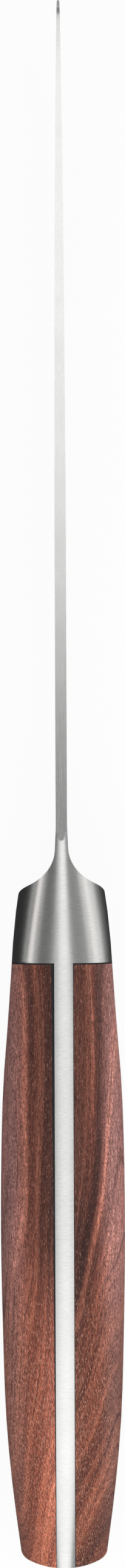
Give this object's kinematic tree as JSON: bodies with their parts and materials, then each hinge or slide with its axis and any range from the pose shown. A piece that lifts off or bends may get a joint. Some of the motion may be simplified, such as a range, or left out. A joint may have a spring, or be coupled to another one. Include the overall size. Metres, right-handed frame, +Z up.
{
  "type": "carving knife",
  "caption": "Forged full-tang carving knife with a pointed tapering blade, a flared half bolster and riveted wood scales.",
  "frame": {"origin": "on the centre plane, on the flat spine, at its rear end where it runs out into the crowned bolster", "axes": "+X along the knife towards the tip, +Y towards the knife's left side, +Z up out of the spine, so the cutting edge faces -Z"},
  "size_m": [0.2831, 0.0226, 0.03],
  "materials": {
    "blade_steel": "satin, brushed along the blade and across the bolster",
    "scale_wood": "oiled, open-pored, reddish brown",
    "bond_resin": "dark, satin, ground flush",
    "rivet_steel": "satin, ground flush with the wood"
  },
  "bodies": {
    "root": {"forged_blade": "blade_steel", "left_scale": "scale_wood", "right_scale": "scale_wood", "left_bond_line": "bond_resin", "right_bond_line": "bond_resin", "front_rivet_socket": "rivet_steel", "front_rivet_pin": "rivet_steel", "middle_rivet_socket": "rivet_steel", "middle_rivet_pin": "rivet_steel", "rear_rivet_socket": "rivet_steel", "rear_rivet_pin": "rivet_steel"}
  },
  "joints": []
}
